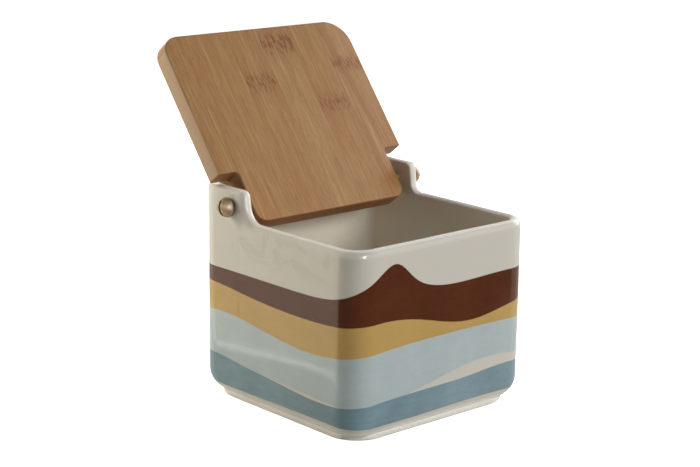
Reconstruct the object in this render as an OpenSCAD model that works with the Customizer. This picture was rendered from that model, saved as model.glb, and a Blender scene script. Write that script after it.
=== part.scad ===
// Square lidded bowl: one ceramic body with two hinge ears, a glued stave lid and two hinge screws.
// Millimetres, +Z up, +X to the right, -Y to the front, origin at the middle of the foot's underside.
// The lid is drawn open, leaning back until its shoulders meet the ears.

/* [Bowl] */
// width across the outside of the side walls
body_w = 110; // [85:1:150]
// depth from the front face to the back face
body_d = 110; // [90:1:150]
// height of the rim at the front and the sides
rim_h = 88; // [60:1:130]
// thickness of the walls and the ears
wall_t = 5; // [4:0.5:7]
// thickness of the floor above the foot
floor_t = 6; // [4:0.5:10]
// outside radius of the upright corners
corner_r = 12.5; // [11:0.5:16]
// radius along both edges of the rim, the ears and the raised back
lip_r = 1.5; // [0.5:0.1:1.9]

/* [Foot] */
// height of the flat foot under the heel curve
foot_h = 2.4; // [1.5:0.1:5]
// radius of the heel curve between wall and foot
heel_r = 12.5; // [8:0.5:20]
// how far the heel curve comes in from the wall
heel_in = 5; // [3:0.5:7]
// radius of the foot's corners
foot_corner_r = 15; // [10:0.5:20]

/* [Ears] */
// distance from the hinge axis to the ear's front edge
ear_run = 9; // [7:0.5:11]
// radius of the ear's upper front corner
ear_round = 3; // [1:0.5:5]

/* [Lid] */
// thickness of the lid board
lid_t = 8.8; // [7:0.2:11]
// how far the closed lid reaches past the front face
front_overhang = 2; // [0:0.5:6]
// how far the lid reaches past each side wall
side_overhang = 1.8; // [1:0.2:5]
// radius of the lid's two far corners
lid_corner_r = 10.5; // [4:0.5:18]
// length of the hinge tab behind the hinge axis
tab_len = 12; // [9:0.5:15]
// gap between the tab and each ear
tab_gap = 4.1; // [1:0.1:6]
// distance from the hinge axis to the lid's shoulders
shoulder_reach = 14.6; // [13:0.2:18]
// radius of the corners of the tab and the shoulders
tab_round = 3; // [1:0.5:4]
// radius in the inside corners between tab and shoulders
notch_r = 1.5; // [0.5:0.5:2]

/* [Hinge] */
// distance from the back face to the hinge axis
hinge_back = 24; // [21:0.5:30]
// how far the open lid leans back from upright, in degrees
open_lean = 38; // [20:1:50]
// clearance between the shoulders and the ears when open
stop_gap = 0.3; // [0.2:0.1:1]
// clearance between the rim and the closed lid
closed_gap = 0.6; // [0.3:0.1:2]

/* [Screws] */
// radius of the smooth shank that turns in the ear
shank_r = 2.05; // [1.5:0.05:3]
// radial clearance of the shank in the ear's bore
bore_clear = 0.08; // [0.02:0.01:0.1]
// radial clearance of the screw in the lid's hole
hole_clear = 0.05; // [0.02:0.01:0.1]
// radius of the round head
head_r = 4.7; // [3.5:0.1:6]
// height of the straight edge of the head
head_edge = 0.6; // [0.3:0.1:1.5]
// height of the domed part of the head
head_dome = 3.8; // [2:0.1:5]
// width of the screwdriver slot
slot_w = 1.3; // [0.8:0.1:2]
// depth of the screwdriver slot
slot_depth = 1.9; // [1:0.1:2.5]
// turn of the slot about the screw, in degrees
slot_turn = 24; // [0:1:90]
// gap between the ear and the underside of the head
head_gap = 1.4; // [0.5:0.1:3]
// length of screw inside the lid
grip = 14; // [9:0.5:20]
// length of plain shank inside the lid
plain_grip = 2; // [1:0.5:4]
// radius at the bottom of the thread
core_r = 1.4; // [1:0.05:1.8]
// distance between two turns of the thread
pitch = 1.8; // [1.2:0.1:3]
// length of the pointed tip
tip_len = 3; // [2:0.5:5]
// radius of the blunt end of the tip
tip_r = 0.3; // [0.2:0.1:0.6]

/* [Hidden] */
// overshoot of a cutting shape past the face it cuts
over = 1;
$fn = 96;
stave_count = 6;

half_w = body_w / 2;
half_d = body_d / 2;
inner_r = corner_r - wall_t;
floor_z = foot_h + floor_t;
heel_drop = sqrt(heel_r * heel_r - (heel_r - heel_in) * (heel_r - heel_in));

hinge_y = half_d - hinge_back;
hinge_z = rim_h + closed_gap + lid_t / 2;
ear_h = hinge_z + shoulder_reach * cos(open_lean) - lid_t / 2 * sin(open_lean) - stop_gap;
ear_front = hinge_y - ear_run;
ear_fillet = shoulder_reach - ear_run;

lid_half_w = half_w + side_overhang;
lid_reach = hinge_y + half_d + front_overhang;
stave_w = 2 * lid_half_w / stave_count;
tab_half_w = half_w - wall_t - tab_gap;

dome_r = (head_r * head_r + head_dome * head_dome) / (2 * head_dome);
shank_len = head_gap + wall_t + tab_gap + plain_grip;
thread_len = grip - plain_grip - tip_len;
turns = floor(thread_len / pitch);
head_seat = half_w + head_gap;
hole_depth = grip + over;

CERAMIC = [0.74, 0.73, 0.69];
BAMBOO = [0.66, 0.50, 0.32];
BRASS = [0.60, 0.48, 0.27];

// Half section of the outside, from the middle out to `reach`: heel curve below, rounded lip on top.
module outer_section(reach, top) {
    difference() {
        translate([0, foot_h]) square([reach, top - foot_h]);
        difference() {
            translate([reach - heel_in, foot_h - over]) square([heel_in + over, heel_drop + over]);
            translate([reach - heel_r, foot_h + heel_drop]) circle(r = heel_r);
        }
        difference() {
            translate([reach - lip_r, top - lip_r]) square([lip_r + over, lip_r + over]);
            translate([reach - lip_r, top - lip_r]) circle(r = lip_r);
        }
    }
}

// Half section of the inside, from the middle out to `reach`: rounded floor edge, mouth opening out.
module inner_section(reach, top) {
    difference() {
        translate([0, floor_z]) square([reach, top + over - floor_z]);
        difference() {
            translate([reach - inner_r, floor_z - over]) square([inner_r + over, inner_r + over]);
            translate([reach - inner_r, floor_z + inner_r]) circle(r = inner_r);
        }
    }
    difference() {
        translate([reach - over, top - lip_r]) square([lip_r + over, lip_r + over]);
        translate([reach + lip_r, top - lip_r]) circle(r = lip_r);
    }
}

// Both halves of a section that mirrors about the middle.
module both_halves() {
    children();
    mirror([1, 0]) children();
}

// The four places of the upright corners.
module at_corners(inset) {
    for (side = [-1, 1], end = [-1, 1]) {
        translate([side * (half_w - inset), end * (half_d - inset), 0]) children();
    }
}

module outer_block(top) {
    rotate([90, 0, 90])
        linear_extrude(height = body_w - 2 * corner_r, center = true)
        both_halves() outer_section(half_d, top);
    rotate([90, 0, 0])
        linear_extrude(height = body_d - 2 * corner_r, center = true)
        both_halves() outer_section(half_w, top);
    at_corners(corner_r) rotate_extrude() outer_section(corner_r, top);
}

module inner_block(top) {
    rotate([90, 0, 90])
        linear_extrude(height = body_w - 2 * corner_r, center = true)
        both_halves() inner_section(half_d - wall_t, top);
    rotate([90, 0, 0])
        linear_extrude(height = body_d - 2 * corner_r, center = true)
        both_halves() inner_section(half_w - wall_t, top);
    at_corners(corner_r) rotate_extrude() inner_section(inner_r, top);
}

// The open box with its walls ending at `top`.
module tub(top) {
    difference() {
        outer_block(top);
        inner_block(top);
    }
}

module foot() {
    foot_w = body_w - 2 * heel_in;
    foot_d = body_d - 2 * heel_in;
    foot_top = foot_h + over;
    translate([-foot_w / 2, -foot_d / 2 + foot_corner_r, 0])
        cube([foot_w, foot_d - 2 * foot_corner_r, foot_top]);
    translate([-foot_w / 2 + foot_corner_r, -foot_d / 2, 0])
        cube([foot_w - 2 * foot_corner_r, foot_d, foot_top]);
    at_corners(heel_in + foot_corner_r) cylinder(r = foot_corner_r, h = foot_top);
}

// Side view of the raised part: the ears and the back, with a fillet down to the rim in front.
module ear_section() {
    root = rim_h - 2 * lip_r;
    difference() {
        translate([ear_front - ear_fillet, root])
            square([half_d + over - ear_front + ear_fillet, ear_h + over - root]);
        translate([ear_front - ear_fillet - over, rim_h + ear_fillet])
            square([ear_fillet + over, ear_h - rim_h]);
        translate([ear_front - ear_fillet, rim_h + ear_fillet]) circle(r = ear_fillet);
        difference() {
            translate([ear_front - over, ear_h - ear_round])
                square([ear_round + over, ear_round + 2 * over]);
            translate([ear_front + ear_round, ear_h - ear_round]) circle(r = ear_round);
        }
    }
}

// Put a shape made along +Z onto the hinge axis, pointing to +X.
module on_hinge_axis() {
    translate([0, hinge_y, hinge_z]) rotate([0, 90, 0]) children();
}

module bowl() {
    color(CERAMIC)
    difference() {
        union() {
            tub(rim_h);
            foot();
            intersection() {
                tub(ear_h);
                rotate([90, 0, 90])
                    linear_extrude(height = body_w + 2 * over, center = true)
                    ear_section();
            }
        }
        on_hinge_axis()
            cylinder(r = shank_r + bore_clear, h = body_w + 2 * over, center = true);
    }
}

// Flat plate from `low` to `high`, with its own corner radius at each end.
module rounded_plate(half, low, high, low_r, high_r) {
    translate([-half, low + low_r]) square([2 * half, high - high_r - low - low_r]);
    translate([-half + low_r, low]) square([2 * (half - low_r), low_r + over]);
    translate([-half + high_r, high - high_r - over]) square([2 * (half - high_r), high_r + over]);
    for (side = [-1, 1]) {
        translate([side * (half - low_r), low + low_r]) circle(r = low_r);
        translate([side * (half - high_r), high - high_r]) circle(r = high_r);
    }
}

// Outline of the lid: a wide plate, a narrower tab and a small fillet in each notch.
module lid_outline() {
    rounded_plate(lid_half_w, shoulder_reach, lid_reach, tab_round, lid_corner_r);
    rounded_plate(tab_half_w, -tab_len, shoulder_reach + tab_round + over, tab_round, over);
    for (side = [-1, 1]) {
        mirror([side < 0 ? 1 : 0, 0])
            translate([tab_half_w, shoulder_reach - notch_r])
            difference() {
                translate([-over, 0]) square([notch_r + over, notch_r + over]);
                translate([notch_r, 0]) circle(r = notch_r);
            }
    }
}

// Lay the lid, drawn flat with its hinge axis on X, back to its open place.
module lid_place() {
    translate([0, hinge_y, hinge_z]) rotate([90 - open_lean, 0, 0]) children();
}

// One glued stave, counted from the left.
module lid_stave(index) {
    color(BAMBOO)
    lid_place()
    difference() {
        intersection() {
            translate([0, 0, -lid_t / 2]) linear_extrude(height = lid_t) lid_outline();
            translate([-lid_half_w + index * stave_w, -tab_len - over, -lid_t])
                cube([stave_w, tab_len + lid_reach + 2 * over, 2 * lid_t]);
        }
        for (side = [-1, 1]) {
            translate([side * (tab_half_w + over - hole_depth / 2), 0, 0])
                rotate([0, 90, 0])
                cylinder(r = shank_r + hole_clear, h = hole_depth + over, center = true);
        }
    }
}

module lid_stave_1() { lid_stave(0); }
module lid_stave_2() { lid_stave(1); }
module lid_stave_3() { lid_stave(2); }
module lid_stave_4() { lid_stave(3); }
module lid_stave_5() { lid_stave(4); }
module lid_stave_6() { lid_stave(5); }

// Half section of the domed head, from its flat underside up.
module head_section() {
    intersection() {
        square([head_r, head_edge + head_dome]);
        translate([0, head_edge + head_dome - dome_r]) circle(r = dome_r);
    }
}

// Half section of the ridged core and its tip, going down from just inside the shank.
module thread_section() {
    thread_end = -shank_len - thread_len;
    polygon(concat(
        [[0, over - shank_len], [core_r, over - shank_len]],
        [for (turn = [0 : turns - 1], part = [0, 1])
            [part == 0 ? core_r : shank_r, -shank_len - (turn + part / 2) * pitch]],
        [[core_r, -shank_len - turns * pitch], [core_r, thread_end]],
        [[tip_r, thread_end - tip_len], [0, thread_end - tip_len]]
    ));
}

// A round-headed wood screw on its own axis: the head towards +Z, its underside at 0.
module hinge_screw() {
    color(BRASS)
    difference() {
        union() {
            rotate_extrude() head_section();
            translate([0, 0, -shank_len]) cylinder(r = shank_r, h = shank_len + head_edge);
            rotate_extrude() thread_section();
        }
        rotate([0, 0, slot_turn])
            translate([-slot_w / 2, -head_r - over, head_edge + head_dome - slot_depth])
            cube([slot_w, 2 * (head_r + over), slot_depth + over]);
    }
}

module hinge_screw_right() {
    translate([head_seat, hinge_y, hinge_z]) rotate([0, 90, 0]) hinge_screw();
}

module hinge_screw_left() {
    translate([-head_seat, hinge_y, hinge_z]) rotate([0, -90, 0]) hinge_screw();
}

bowl();
lid_stave_1();
lid_stave_2();
lid_stave_3();
lid_stave_4();
lid_stave_5();
lid_stave_6();
hinge_screw_left();
hinge_screw_right();
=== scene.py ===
"""Square glazed sugar bowl with a hinged bamboo lid, built around its CAD frame.

Sizes in the classes are millimetres; meshes are made in metres in the frame's own axes:
+X to the right along the hinge axis, -Y to the front, +Z up, origin under the middle of the foot.
"""

from __future__ import annotations

import logging
import math
from dataclasses import dataclass, field
from enum import Enum
from typing import Any, Iterable, Mapping, Sequence

import bmesh
import bpy
from mathutils import Matrix, Vector, noise

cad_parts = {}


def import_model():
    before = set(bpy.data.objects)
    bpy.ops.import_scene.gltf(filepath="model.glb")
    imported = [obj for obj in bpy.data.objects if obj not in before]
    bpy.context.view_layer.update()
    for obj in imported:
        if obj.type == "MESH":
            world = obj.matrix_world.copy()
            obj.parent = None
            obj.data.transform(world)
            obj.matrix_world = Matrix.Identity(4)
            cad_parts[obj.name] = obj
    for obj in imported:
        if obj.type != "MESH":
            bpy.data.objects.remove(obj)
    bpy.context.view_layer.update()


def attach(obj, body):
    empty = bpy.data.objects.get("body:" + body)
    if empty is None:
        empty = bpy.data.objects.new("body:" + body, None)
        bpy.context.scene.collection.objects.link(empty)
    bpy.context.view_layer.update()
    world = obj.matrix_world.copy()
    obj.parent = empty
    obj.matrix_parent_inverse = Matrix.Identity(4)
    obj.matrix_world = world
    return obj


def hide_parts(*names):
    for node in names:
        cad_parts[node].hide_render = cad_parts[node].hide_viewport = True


MM = 0.001
TURN = 2 * math.pi
CREASE = 35.0
BLACK = (0.0, 0.0, 0.0)
WHITE = (1.0, 1.0, 1.0)
DRILL_SIDES = 48
ABOVE_ALL = 30.0
Colour = tuple[float, float, float]
Step = tuple[float, float, float, float]
Ring = list[int]
Corners = float | tuple[float, float, float, float] | None

log = logging.getLogger("sugar_bowl")


class Slot(Enum):
    """The record's material slots."""

    GLAZE = "glazed_body"
    BAMBOO = "bamboo"
    BRASS = "aged_brass"


class Body(Enum):
    """The bodies that the hinge joins."""

    BOWL = "bowl"
    LID = "lid"


class Reach(Enum):
    """What a lamp lights: everything, only the matt part of a finish, or only its gloss."""

    ALL = "all"
    MATT = "matt"
    GLOSS = "gloss"


class Skin(Enum):
    """The two sides of the ceramic wall."""

    OUTSIDE = -1
    INSIDE = 1


# ---------------------------------------------------------------- shader tools


class Value:
    """A number that varies over a surface. Operators on it add Math nodes."""

    def __init__(self, nodes: Nodes, socket: bpy.types.NodeSocket) -> None:
        """Keep the socket and the node tree that it is in."""
        self.nodes = nodes
        self.socket = socket

    def math(self, operation: str, *terms: Any) -> Value:
        """Add one Math node.

        Args:
            operation: The Math node's operation.
            *terms: The node's inputs in order, numbers or values.

        Returns:
            The node's result.
        """
        made = self.nodes.node("ShaderNodeMath", {"operation": operation}, dict(enumerate(terms)))
        return Value(self.nodes, made.outputs[0])

    def __add__(self, other: Any) -> Value:
        """Sum."""
        return self.math("ADD", self, other)

    __radd__ = __add__

    def __sub__(self, other: Any) -> Value:
        """Difference."""
        return self.math("SUBTRACT", self, other)

    def __rsub__(self, other: Any) -> Value:
        """Difference from a number."""
        return self.math("SUBTRACT", other, self)

    def __mul__(self, other: Any) -> Value:
        """Product."""
        return self.math("MULTIPLY", self, other)

    __rmul__ = __mul__

    def __abs__(self) -> Value:
        """Size without its sign."""
        return self.math("ABSOLUTE", self)

    def floor(self) -> Value:
        """Whole part."""
        return self.math("FLOOR", self)

    def exp(self) -> Value:
        """Exponential."""
        return self.math("EXPONENT", self)

    def clamp(self) -> Value:
        """The same number kept between 0 and 1."""
        return self.math("MAXIMUM", self.math("MINIMUM", self, 1.0), 0.0)

    def ramp(self, low: float, high: float) -> Value:
        """Smooth step.

        Args:
            low: Where the step starts, giving 0.
            high: Where it ends, giving 1. It may be below low, which turns the step over.

        Returns:
            A number from 0 to 1.
        """
        share = ((self - low) * (1.0 / (high - low))).clamp()
        return share * share * (3.0 - 2.0 * share)


class Nodes:
    """A node tree being filled."""

    def __init__(self, tree: bpy.types.NodeTree) -> None:
        """Keep the tree."""
        self.tree = tree

    def node(
        self, kind: str, settings: Mapping[str, Any], sockets: Mapping[Any, Any]
    ) -> bpy.types.Node:
        """Add any node.

        Args:
            kind: The node's type.
            settings: Its properties, set before its sockets. "stops" gives a colour ramp its two stops.
            sockets: Numbers, colours, vectors or links for its inputs, by name or place.

        Returns:
            The node.
        """
        made = self.tree.nodes.new(kind)
        for key, setting in settings.items():
            if key == "stops":
                for element, (place, colour) in zip(made.color_ramp.elements, setting):
                    element.position, element.color = place, (*colour, 1.0)
            else:
                setattr(made, key, setting)
        for key, given in sockets.items():
            given = getattr(given, "socket", given)
            if isinstance(given, bpy.types.NodeSocket):
                self.tree.links.new(given, made.inputs[key])
            else:
                made.inputs[key].default_value = given
        return made


class Recipe(Nodes):
    """One material's node tree, with its Principled shader ready to be fed."""

    def __init__(self, name: str, shown: Colour, **constants: float) -> None:
        """Start a material.

        Args:
            name: The material's name.
            shown: Its flat colour in plain viewports.
            **constants: Shader sockets that are the same all over, in snake case.
        """
        self.material = bpy.data.materials.new(name)
        self.material.use_nodes = True
        self.material.diffuse_color = (*shown, 1.0)
        super().__init__(self.material.node_tree)
        self.shader = next(n for n in self.tree.nodes if n.type == "BSDF_PRINCIPLED")
        for key, number in constants.items():
            socket = key.replace("_", " ").title().replace("Ior", "IOR")
            self.shader.inputs[socket].default_value = number

    def measure(self, name: str) -> Value:
        """A number kept on the mesh's points under that name."""
        return Value(self, self.node("ShaderNodeAttribute", {"attribute_name": name}, {}).outputs["Fac"])

    def place(self) -> bpy.types.NodeSocket:
        """Where the point is in the piece's own axes."""
        return self.node("ShaderNodeTexCoord", {}, {}).outputs["Object"]

    def axes(self, vector: bpy.types.NodeSocket) -> tuple[Value, Value, Value]:
        """A vector's three numbers."""
        parts = self.node("ShaderNodeSeparateXYZ", {}, {0: vector}).outputs
        return Value(self, parts[0]), Value(self, parts[1]), Value(self, parts[2])

    def vector(self, x: Any, y: Any, z: Any) -> bpy.types.NodeSocket:
        """A vector from three numbers."""
        return self.node("ShaderNodeCombineXYZ", {}, {0: x, 1: y, 2: z}).outputs[0]

    def clouds(
        self, vector: bpy.types.NodeSocket, size: float, detail: float = 2.0, rough: float = 0.5
    ) -> Value:
        """Soft noise.

        Args:
            vector: Where the noise is read.
            size: Size of one cloud, in the vector's units.
            detail: How many finer layers lie on it.
            rough: How strong those layers are.

        Returns:
            A number around 0.5.
        """
        made = self.node(
            "ShaderNodeTexNoise",
            {"noise_dimensions": "3D"},
            {"Vector": vector, "Scale": 1.0 / size, "Detail": detail, "Roughness": rough},
        )
        return Value(self, made.outputs[0])

    def dice(self, number: Value, salt: float) -> Value:
        """One steady random number from 0 to 1 for each whole number."""
        made = self.node("ShaderNodeTexWhiteNoise", {"noise_dimensions": "1D"}, {"W": number + salt})
        return Value(self, made.outputs["Value"])

    def mix(self, share: Any, under: Any, over: Any) -> bpy.types.NodeSocket:
        """Mix two colours.

        Args:
            share: How much of the second one shows.
            under: The first colour.
            over: The second colour.

        Returns:
            The mixed colour.
        """
        under, over = ((*c, 1.0) if isinstance(c, tuple) else c for c in (under, over))
        made = self.node("ShaderNodeMix", {"data_type": "RGBA"}, {0: share, 6: under, 7: over})
        return made.outputs[2]

    def feed(self, socket: str, given: Any) -> None:
        """Link a value or a colour to one of the shader's sockets."""
        self.tree.links.new(getattr(given, "socket", given), self.shader.inputs[socket])

    def relief(self, height: Value, depth: float, strength: float = 1.0) -> None:
        """Turn a height into small relief on the surface.

        Args:
            height: Height from 0 to 1.
            depth: What a height of 1 stands for, in millimetres.
            strength: How much of it shows.
        """
        sockets = {"Strength": strength, "Distance": depth * MM, "Height": height}
        self.feed("Normal", self.node("ShaderNodeBump", {}, sockets).outputs[0])


def way_to(turn: float, height: float) -> Vector:
    """Way to what stands turn degrees from the front to the right and height degrees up."""
    side, up = math.radians(turn), math.radians(height)
    return Vector((math.sin(side) * math.cos(up), -math.cos(side) * math.cos(up), math.sin(up)))


def toned(colour: Colour, share: float) -> Colour:
    """The same colour made darker or paler."""
    return tuple(min(1.0, part * share) for part in colour)


# ---------------------------------------------------------------- mesh tools


class Clay:
    """A mesh being made, in millimetres."""

    def __init__(self) -> None:
        """Start with no points and no faces."""
        self.points: list[Vector] = []
        self.faces: list[Sequence[int]] = []
        self.marks: dict[str, list[float]] = {}

    def ring(self, points: Iterable[Vector]) -> Ring:
        """Add a row of points.

        Args:
            points: The points in order.

        Returns:
            Their numbers.
        """
        first = len(self.points)
        self.points.extend(points)
        return list(range(first, len(self.points)))

    def sheet(self, rows: Sequence[Ring]) -> None:
        """Close the bands between neighbouring rings of the same length.

        Args:
            rows: The rings in order.
        """
        for low, high in zip(rows, rows[1:]):
            count = len(low)
            for i in range(count):
                j = (i + 1) % count
                self.faces.append((low[i], low[j], high[j], high[i]))

    def lid(self, ring: Ring, flip: bool = False) -> None:
        """Close a flat ring with one face."""
        self.faces.append(tuple(reversed(ring)) if flip else tuple(ring))

    def fire(self, name: str, crease: float = CREASE) -> bpy.types.Object:
        """Turn the points and faces into an object.

        Args:
            name: The object's name.
            crease: Angle in degrees above which an edge stays sharp.

        Returns:
            The object, linked to the scene.
        """
        mesh = bpy.data.meshes.new(name)
        mesh.from_pydata([p * MM for p in self.points], [], self.faces)
        for key, numbers in self.marks.items():
            mesh.attributes.new(key, "FLOAT", "POINT").data.foreach_set("value", numbers)
        piece = bpy.data.objects.new(name, mesh)
        bpy.context.scene.collection.objects.link(piece)
        smooth(mesh, crease)
        return piece


def smooth(mesh: bpy.types.Mesh, crease: float) -> None:
    """Face every face outwards and shade it smooth, with sharp edges above an angle.

    Args:
        mesh: The mesh.
        crease: The angle in degrees.
    """
    bm = bmesh.new()
    bm.from_mesh(mesh)
    bmesh.ops.recalc_face_normals(bm, faces=bm.faces)
    for face in bm.faces:
        face.smooth = True
    for edge in bm.edges:
        if len(edge.link_faces) == 2:
            edge.smooth = edge.calc_face_angle() < math.radians(crease)
    bm.to_mesh(mesh)
    bm.free()


def drill(piece: bpy.types.Object, centre: Vector, radius: float, length: float) -> None:
    """Cut a round hole along X through a piece.

    Args:
        piece: The piece.
        centre: Middle of the hole, in millimetres.
        radius: Radius of the hole.
        length: Length of the hole.
    """
    bit = Clay()
    around = [TURN * i / DRILL_SIDES for i in range(DRILL_SIDES)]
    ends = [
        bit.ring(centre + Vector((end, radius * math.cos(a), radius * math.sin(a))) for a in around)
        for end in (-length / 2, length / 2)
    ]
    bit.sheet(ends)
    bit.lid(ends[0], flip=True)
    bit.lid(ends[1])
    tool = bit.fire("drill_bit")
    cut = piece.modifiers.new("bore", "BOOLEAN")
    cut.operation, cut.solver, cut.object = "DIFFERENCE", "EXACT", tool
    graph = bpy.context.evaluated_depsgraph_get()
    done = bpy.data.meshes.new_from_object(piece.evaluated_get(graph))
    piece.modifiers.clear()
    was, piece.data = piece.data, done
    name = was.name
    bpy.data.meshes.remove(was)
    done.name = name
    bpy.data.objects.remove(tool)
    smooth(done, CREASE)


def hand_over(
    piece: bpy.types.Object, material: bpy.types.Material, body: Body, node: str
) -> None:
    """Dress a finished piece and fasten it to the frame.

    Args:
        piece: The piece.
        material: Its finish.
        body: The body that it rides on.
        node: The CAD node that it stands for.
    """
    piece.data.materials.clear()
    piece.data.materials.append(material)
    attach(piece, body.value)
    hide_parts(node)
    log.info("%s: %d faces, rides on %s", piece.name, len(piece.data.polygons), body.value)


# ---------------------------------------------------------------- finishes


@dataclass(frozen=True)
class Hill:
    """One swell of a painted line.

    Args:
        at: Where it is, along the wall from the middle of the back.
        rise: Its height; a hollow has a negative one.
        reach: Distance from its top to where it has mostly faded.
    """

    at: float
    rise: float
    reach: float

    def height(self, along: float, girth: float) -> float:
        """Height at a distance along a wall that closes on itself after girth."""
        tight = (girth / (TURN * self.reach)) ** 2
        return self.rise * math.exp(tight * (math.cos(TURN * (along - self.at) / girth) - 1.0))


@dataclass(frozen=True)
class Wave:
    """A painted line round the bowl: a level height with swells on it."""

    level: float
    hills: tuple[Hill, ...]

    def height(self, along: float, girth: float) -> float:
        """Height of the line at a distance along the wall."""
        return self.level + sum(hill.height(along, girth) for hill in self.hills)


@dataclass(frozen=True)
class PaintedGlaze:
    """Clear glossy glaze over cream clay with painted bands."""

    cream: Colour = (0.70, 0.663, 0.59)
    brown: Colour = (0.107, 0.026, 0.0055)
    ochre: Colour = (0.59, 0.38, 0.125)
    blue: Colour = (0.507, 0.59, 0.60)
    teal: Colour = (0.223, 0.337, 0.391)
    bare_clay: Colour = (0.62, 0.56, 0.48)
    # Paler colour of thin glaze, also used as painted light on the lip and low on the heel.
    pale_glaze_and_light_tint: Colour = (0.94, 0.905, 0.84)
    inside_tint: Colour = (0.83, 0.78, 0.68)
    iron: Colour = (0.30, 0.22, 0.15)
    line_width: float = 0.16
    # Strength of the painted reflection: darker wavy zones beside the glaze ridges under the side rims.
    wavy_reflection_shown: float = 0.1
    runs_relief: float = 2.0
    skin_depth: float = 0.035

    @property
    def coats(self) -> tuple[tuple[str, Colour, float], ...]:
        """The painted lines from the foot up, with the paint above each and how much it varies."""
        return (
            ("teal_foot", self.teal, 0.12),
            ("teal_top", self.cream, 0.0),
            ("blue_foot", self.blue, 0.05),
            ("blue_top", self.ochre, 0.04),
            ("ochre_top", self.brown, 0.12),
            ("brown_top", self.cream, 0.0),
        )

    def painted(self, recipe: Recipe, place: bpy.types.NodeSocket, wash: Value, grain: Value) -> Any:
        """Brush the bands on, one over the other.

        Args:
            recipe: The material.
            place: Where the point is.
            wash: Slow noise, for the thickness of the paint.
            grain: Quick noise.

        Returns:
            The colour.
        """
        drawn = recipe.node("ShaderNodeVectorMath", {"operation": "MULTIPLY"}, {0: place, 1: (1.0, 1.0, 7.0)})
        strokes = recipe.clouds(drawn.outputs[0], 0.011, 2.0, 0.5)
        blot = ((wash - 0.5) * 2.2 + (strokes - 0.5) * 0.9 + (grain - 0.5) * 0.5 + 0.5).clamp()
        colour: Any = self.cream
        for line, paint, depth in self.coats:
            over = (recipe.measure(line) * (1.0 / self.line_width) + 0.5).clamp()
            shade: Any = paint
            if depth:
                pale = tuple(part + 0.015 * depth for part in toned(paint, 1.0 + depth))
                shade = recipe.mix(blot, toned(paint, 1.0 - depth), pale)
            colour = recipe.mix(over, colour, shade)
        return colour

    def runs(self, recipe: Recipe, place: bpy.types.NodeSocket) -> tuple[Value, Value]:
        """Where the glaze ran under the rim of the side walls.

        Args:
            recipe: The material.
            place: Where the point is.

        Returns:
            The noise that the runs follow, and how much of them the place shows.
        """
        x, y, z = recipe.axes(place)
        flow = recipe.clouds(place, 0.02, 1.0, 0.5)
        side = abs(x).ramp(0.0535, 0.0545) * z.ramp(0.067, 0.075) * z.ramp(0.09, 0.084)
        side = side * y.ramp(0.036, 0.026) * y.ramp(-0.045, -0.035)
        bent = recipe.vector(x + flow * 0.03, y * 0.65 + flow * 0.05, z * 1.3 + flow * 0.05)
        return recipe.clouds(bent, 0.009, 1.5, 0.5), side

    def material(self) -> bpy.types.Material:
        """Mix the glaze.

        Returns:
            The material.
        """
        recipe = Recipe("painted_glaze", self.cream, ior=1.46)
        place = recipe.place()
        wash = recipe.clouds(place, 0.019, 3.0, 0.55)
        grain = recipe.clouds(place, 0.0016, 2.0, 0.6)
        sand = recipe.clouds(place, 0.0007, 2.0, 0.7)
        peel = recipe.clouds(place, 0.0045, 1.0, 0.5)
        flecks = recipe.clouds(place, 0.0011, 0.0, 0.5).ramp(0.79, 0.84)
        flecks = flecks * recipe.clouds(place, 0.006, 1.0, 0.5).ramp(0.5, 0.62)
        bare = recipe.measure("bare")
        runs, side = self.runs(recipe, place)
        colour = self.painted(recipe, place, wash, grain)
        colour = recipe.mix(recipe.measure("inside"), colour, self.inside_tint)
        # Thin glaze on the lip and heel, partly real and partly painted light.
        colour = recipe.mix(recipe.measure("thin_glaze_and_painted_light"), colour, self.pale_glaze_and_light_tint)
        colour = recipe.mix(flecks * 0.22, colour, self.iron)
        clay = recipe.mix(sand, toned(self.bare_clay, 0.86), toned(self.bare_clay, 1.08))
        colour = recipe.mix(bare, colour, clay)
        # Painted reflection: darker wavy zones beside the ridges of the uneven glaze.
        colour = recipe.mix(runs.ramp(0.5, 0.53) * side * self.wavy_reflection_shown, colour, toned(self.cream, 0.3))
        recipe.feed("Base Color", colour)
        gloss = 0.075 + (grain - 0.5).clamp() * 0.05 + (wash - 0.5).clamp() * 0.06
        recipe.feed("Roughness", gloss + bare * 0.55)
        folds = abs(runs - 0.5).ramp(0.0, 0.09) * side * self.runs_relief
        recipe.relief(peel * 0.5 + grain * 0.05 * (1.0 - bare) + sand * bare * 0.9 - folds, self.skin_depth)
        return recipe.material


@dataclass(frozen=True)
class NodeMark:
    """The dark joint that a bamboo strip shows where the cane had a ring.

    Args:
        strip: The strip's number from the left, from 0.
        along: Distance from the hinge axis.
        depth: Half its length along the strip.
        dark: How dark it is.
    """

    strip: int
    along: float
    depth: float
    dark: float


class Grain:
    """How the fibres run in strips that lie side by side along Y."""

    def __init__(self, recipe: Recipe, half: float, width: float) -> None:
        """Lay the strips out.

        Args:
            recipe: The material.
            half: Half the width of all the strips, in metres.
            width: Width of one strip, in metres.
        """
        self.recipe = recipe
        self.across, self.along, through = recipe.axes(recipe.place())
        count = (self.across + half) * (1.0 / width)
        self.strip = count.floor()
        self.joint = abs(count - self.strip - 0.5).ramp(0.49, 0.5)
        self.shift = recipe.dice(self.strip, 0.37)
        self.sheer = recipe.dice(self.strip, 5.61) - 0.5
        self.lean = self.across + self.along * self.sheer * 0.03
        self.deep = through + self.shift * 3.1

    def fibres(self, wide: float, long: float, detail: float, rough: float) -> Value:
        """Noise drawn out along the strips.

        Args:
            wide: Width of a fibre, in millimetres.
            long: Its length, in millimetres.
            detail: How many finer layers lie on it.
            rough: How strong those layers are.

        Returns:
            A number around 0.5.
        """
        thin = 1.0 / (wide * MM)
        run = self.along * (1.0 / (long * MM)) + self.shift * 17.0
        spot = self.recipe.vector(self.lean * thin, run, self.deep * thin)
        return self.recipe.clouds(spot, 1.0, detail, rough)


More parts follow.
